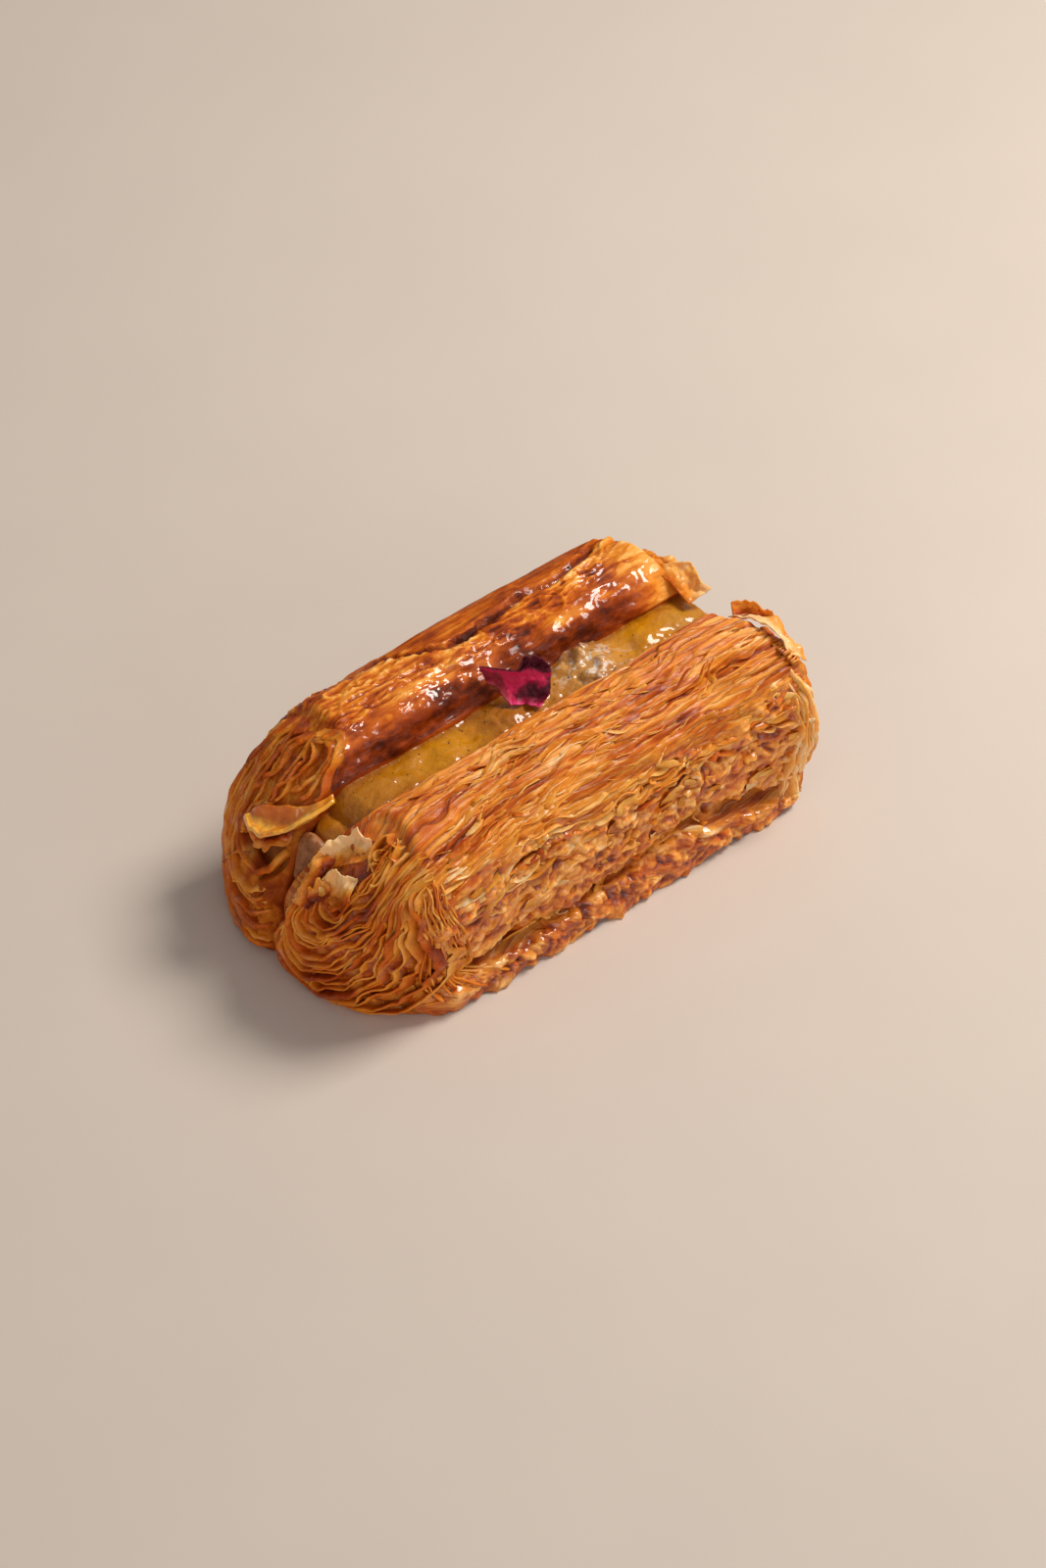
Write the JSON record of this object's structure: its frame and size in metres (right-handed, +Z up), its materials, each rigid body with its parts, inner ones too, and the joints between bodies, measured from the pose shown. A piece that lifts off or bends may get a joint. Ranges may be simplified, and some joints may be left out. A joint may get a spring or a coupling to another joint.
{
  "type": "croissant eclair",
  "caption": "Croissant eclair: a laminated loaf with a deep seam along its top, filled with vanilla cream and fruit gel, with a dried rose petal on it.",
  "frame": {"origin": "on the flat base, under the middle of the loaf's bounding box", "axes": "+X along the loaf towards its far end, +Y across it towards the taller glazed roll, +Z up"},
  "size_m": [0.1335, 0.0726, 0.052],
  "materials": {
    "crust": "baked laminated dough, golden to brown, with glazed skin on the back roll",
    "gel": "wet translucent yellow fruit gel with small dark specks",
    "cream": "smooth greyish beige cream with vanilla specks",
    "petal": "dried rose petal, magenta to dark maroon"
  },
  "bodies": {
    "root": {"croissant": "crust", "fruit_gel": "gel", "vanilla_cream": "cream", "rose_petal": "petal"}
  },
  "joints": []
}
